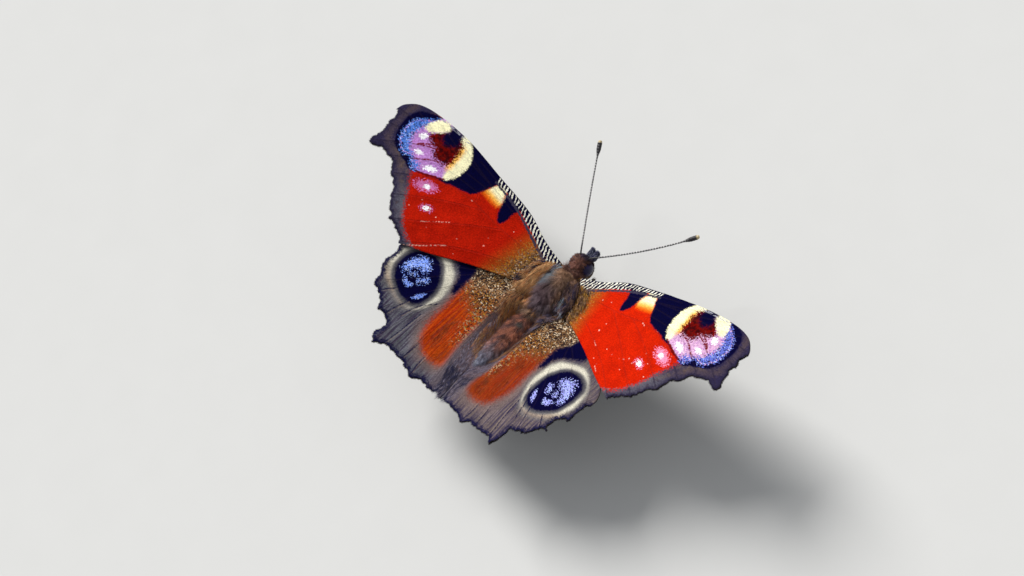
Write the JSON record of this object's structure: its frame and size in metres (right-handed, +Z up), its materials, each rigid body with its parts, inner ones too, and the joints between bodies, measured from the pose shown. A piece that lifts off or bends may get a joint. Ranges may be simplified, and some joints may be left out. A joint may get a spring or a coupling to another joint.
{
  "type": "peacock butterfly",
  "caption": "Life-size peacock butterfly at rest on its legs, red wings with eyespots held open in a shallow V.",
  "frame": {"origin": "on the floor under the middle of the insect's bounding box", "axes": "+X to the insect's left across the wings, +Y towards its tail, +Z up"},
  "size_m": [0.0624, 0.0387, 0.0161],
  "materials": {
    "body_hair": "short brown hair with a faint grey-blue sheen on the back of the thorax",
    "eye": "dark blue-black faceted gloss",
    "palp": "dark scales with pale edges",
    "proboscis": "satin brown horn-like cuticle",
    "antenna": "dark with fine white rings and a cream club tip",
    "leg": "brown scaled cuticle",
    "forewing": "matte scales, brick red with black, cream, lilac and blue markings, dark underside",
    "hindwing": "matte scales, brown and red with a blue eyespot in a cream ring, dark underside"
  },
  "bodies": {
    "root": {"abdomen": "body_hair", "antenna_left": "antenna", "antenna_right": "antenna", "eye_left": "eye", "eye_right": "eye", "forewing_left": "forewing", "forewing_right": "forewing", "head": "body_hair", "hindwing_left": "hindwing", "hindwing_right": "hindwing", "leg_fore_left": "leg", "leg_fore_right": "leg", "leg_hind_left_femur": "leg", "leg_hind_left_tarsus": "leg", "leg_hind_left_tibia": "leg", "leg_hind_right_femur": "leg", "leg_hind_right_tarsus": "leg", "leg_hind_right_tibia": "leg", "leg_mid_left_femur": "leg", "leg_mid_left_tarsus": "leg", "leg_mid_left_tibia": "leg", "leg_mid_right_femur": "leg", "leg_mid_right_tarsus": "leg", "leg_mid_right_tibia": "leg", "palp_left": "palp", "palp_right": "palp", "proboscis": "proboscis", "thorax": "body_hair"}
  },
  "joints": []
}
